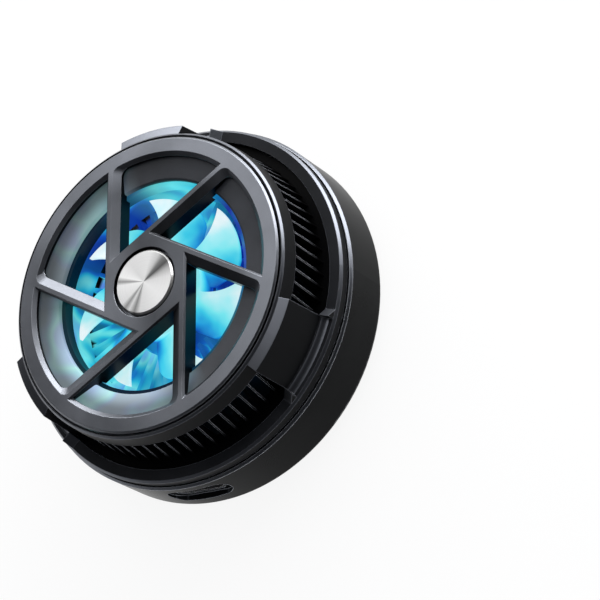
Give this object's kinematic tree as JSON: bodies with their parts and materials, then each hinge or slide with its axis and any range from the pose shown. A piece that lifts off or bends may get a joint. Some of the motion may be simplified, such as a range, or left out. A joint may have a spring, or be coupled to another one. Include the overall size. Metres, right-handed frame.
{
  "type": "magnetic wireless charger with cooling fan",
  "caption": "Round magnetic wireless charging puck with a glass charging face, side cooling vents and a lit fan behind a pinwheel grille.",
  "frame": {"origin": "centre of the glass charging face", "axes": "+Z from the glass face up to the fan grille, along the fan's axis; the port faces -Y"},
  "size_m": [0.062, 0.062, 0.0237],
  "materials": {
    "smoked_glass": "polished clear glass with a slight smoke tint",
    "printed_film": "near-black film with a light grey circuit-like print",
    "polished_trim": "polished dark metal",
    "adhesive": "black double-sided foam tape",
    "dark_satin_metal": "satin dark grey coat",
    "nickel_magnet": "nickel-plated magnet",
    "plain_steel": "plain stamped steel",
    "copper_wire": "enamelled copper",
    "dark_ferrite": "sintered dark grey ferrite",
    "thermal_pad": "soft blue-grey thermal pad",
    "bare_aluminium": "milled bare aluminium",
    "white_ceramic": "fired white alumina",
    "semiconductor": "grey semiconductor with tinned ends",
    "black_foam": "closed-cell foam",
    "glass_bead": "glass-coated sensor bead",
    "circuit_board": "green solder mask on laminate",
    "black_resin": "moulded black resin",
    "tan_ceramic": "tan ceramic with tinned ends",
    "white_nylon": "natural nylon",
    "port_steel": "nickel-plated steel",
    "black_aluminium": "black anodised aluminium",
    "screw_steel": "plated steel",
    "black_plastic": "moulded black plastic",
    "sintered_bronze": "oiled sintered bronze",
    "clear_blade_plastic": "translucent plastic lit from its rim",
    "milky_light_guide": "milky light-guide plastic",
    "white_circuit_board": "white solder mask on laminate",
    "light_emitter": "white light emitter",
    "amber_flex": "amber flexible circuit",
    "satin_bezel_plastic": "smooth dark grey plastic",
    "gunmetal_grille": "fine satin gunmetal",
    "spun_aluminium": "spun bright aluminium",
    "gunmetal_shell": "satin dark gunmetal",
    "gunmetal_fins": "satin dark gunmetal"
  },
  "bodies": {
    "housing": {"charging_glass": "smoked_glass", "print_film": "printed_film", "rear_trim_ring": "polished_trim", "glass_glue_ring": "adhesive", "rear_shell": "dark_satin_metal", "alignment_magnets": "nickel_magnet", "magnet_backing_ring": "plain_steel", "charging_coil": "copper_wire", "ferrite_sheet": "dark_ferrite", "coil_thermal_pad": "thermal_pad", "coil_terminals": "copper_wire", "cold_plate": "bare_aluminium", "cooler_cold_ceramic": "white_ceramic", "cooler_pellets": "semiconductor", "cooler_hot_ceramic": "white_ceramic", "cooler_foam_frame": "black_foam", "temperature_sensor": "glass_bead", "main_board": "circuit_board", "board_spacers": "plain_steel", "board_chips": "black_resin", "board_inductors": "dark_ferrite", "board_capacitors": "tan_ceramic", "board_connectors": "white_nylon", "port_metal_shell": "port_steel", "port_tongue": "black_resin", "heat_sink": "black_aluminium", "sink_screws": "screw_steel", "fan_frame": "black_plastic", "sleeve_bearing": "sintered_bronze", "fan_screws": "screw_steel", "fan_board": "circuit_board", "stator_core": "plain_steel", "stator_windings": "copper_wire", "light_guide_ring": "milky_light_guide", "led_board": "white_circuit_board", "led_emitters": "light_emitter", "led_flex_cable": "amber_flex", "fan_flex_cable": "amber_flex", "fan_bezel": "satin_bezel_plastic", "front_grille": "gunmetal_grille", "hub_disc": "spun_aluminium", "hub_disc_glue": "adhesive", "vent_shell": "gunmetal_shell", "vent_fin_ring": "gunmetal_fins"},
    "fan_rotor": {"fan_impeller": "clear_blade_plastic", "rotor_yoke": "plain_steel", "rotor_magnet": "dark_ferrite", "rotor_shaft": "screw_steel", "shaft_retaining_washer": "white_nylon"}
  },
  "joints": [
    {"name": "fan_spin", "type": "hinge", "parent": "housing", "child": "fan_rotor", "pos_m": [0, 0, 0.0187], "axis": [0, 0, 1], "continuous": true}
  ]
}
